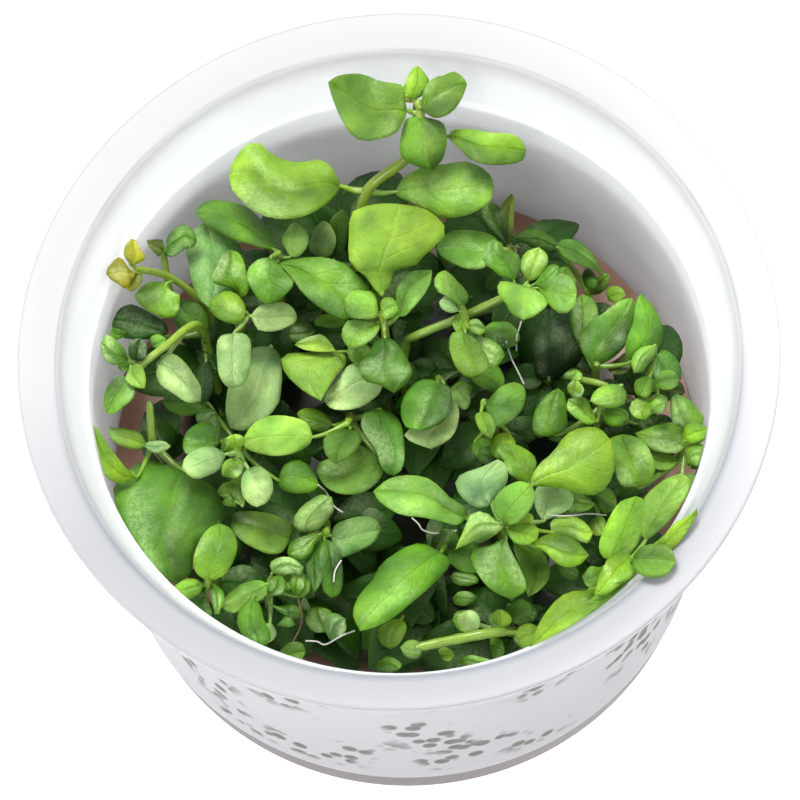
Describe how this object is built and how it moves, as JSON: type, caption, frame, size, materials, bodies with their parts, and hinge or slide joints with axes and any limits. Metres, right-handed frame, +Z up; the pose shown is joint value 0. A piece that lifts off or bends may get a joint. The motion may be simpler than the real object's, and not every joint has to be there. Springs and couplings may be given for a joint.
{
  "type": "potted aquarium plant",
  "caption": "Green hygrophila, an aquarium plant, growing on gel in an open, translucent plastic culture cup with a plain paper sleeve.",
  "frame": {"origin": "centre of the cup's underside, on the surface it stands on", "axes": "+Z up out of the cup's mouth, +X to the right in the picture, +Y away from the camera"},
  "size_m": [0.1, 0.1, 0.0618],
  "materials": {
    "cup": "satin",
    "label": "matte",
    "gel": "gloss",
    "leaf": "satin",
    "stem": "satin"
  },
  "bodies": {
    "root": {"cup": "cup", "gel": "gel", "label": "label", "leaf_back_a": "leaf", "leaf_centre_b": "leaf", "leaf_centre_left_a": "leaf", "leaf_centre_left_b": "leaf", "leaf_centre_left_d": "leaf", "leaf_far_a": "leaf", "leaf_far_d": "leaf", "leaf_far_e": "leaf", "leaf_far_f": "leaf", "leaf_front_a": "leaf", "leaf_front_star_c": "leaf", "leaf_front_star_d": "leaf", "leaf_front_star_f": "leaf", "leaf_left_back_a": "leaf", "leaf_left_back_c": "leaf", "leaf_left_dark_a": "leaf", "leaf_left_front_b": "leaf", "leaf_left_low_a": "leaf", "leaf_left_wall_b": "leaf", "leaf_middle_a": "leaf", "leaf_middle_d": "leaf", "leaf_right_a": "leaf", "leaf_right_b": "leaf", "leaf_right_dark_a": "leaf", "leaf_rim_shoot_b": "leaf", "leaf_rim_shoot_d": "leaf", "shoot_back": "stem", "shoot_back_row": "stem", "shoot_centre": "stem", "shoot_centre_left": "stem", "shoot_crossing": "stem", "shoot_far": "stem", "shoot_front": "stem", "shoot_front_left": "stem", "shoot_front_low": "stem", "shoot_front_mid": "stem", "shoot_front_star": "stem", "shoot_kidney": "stem", "shoot_left": "stem", "shoot_left_back": "stem", "shoot_left_dark": "stem", "shoot_left_front": "stem", "shoot_left_low": "stem", "shoot_left_mid": "stem", "shoot_left_wall": "stem", "shoot_middle": "stem", "shoot_olive": "stem", "shoot_right": "stem", "shoot_right_back": "stem", "shoot_right_dark": "stem", "shoot_right_mid": "stem", "shoot_right_rim": "stem", "shoot_right_small": "stem", "shoot_right_thin": "stem", "shoot_right_wall": "stem", "shoot_rim_shoot": "stem", "shoot_yellow": "stem"}
  },
  "joints": []
}
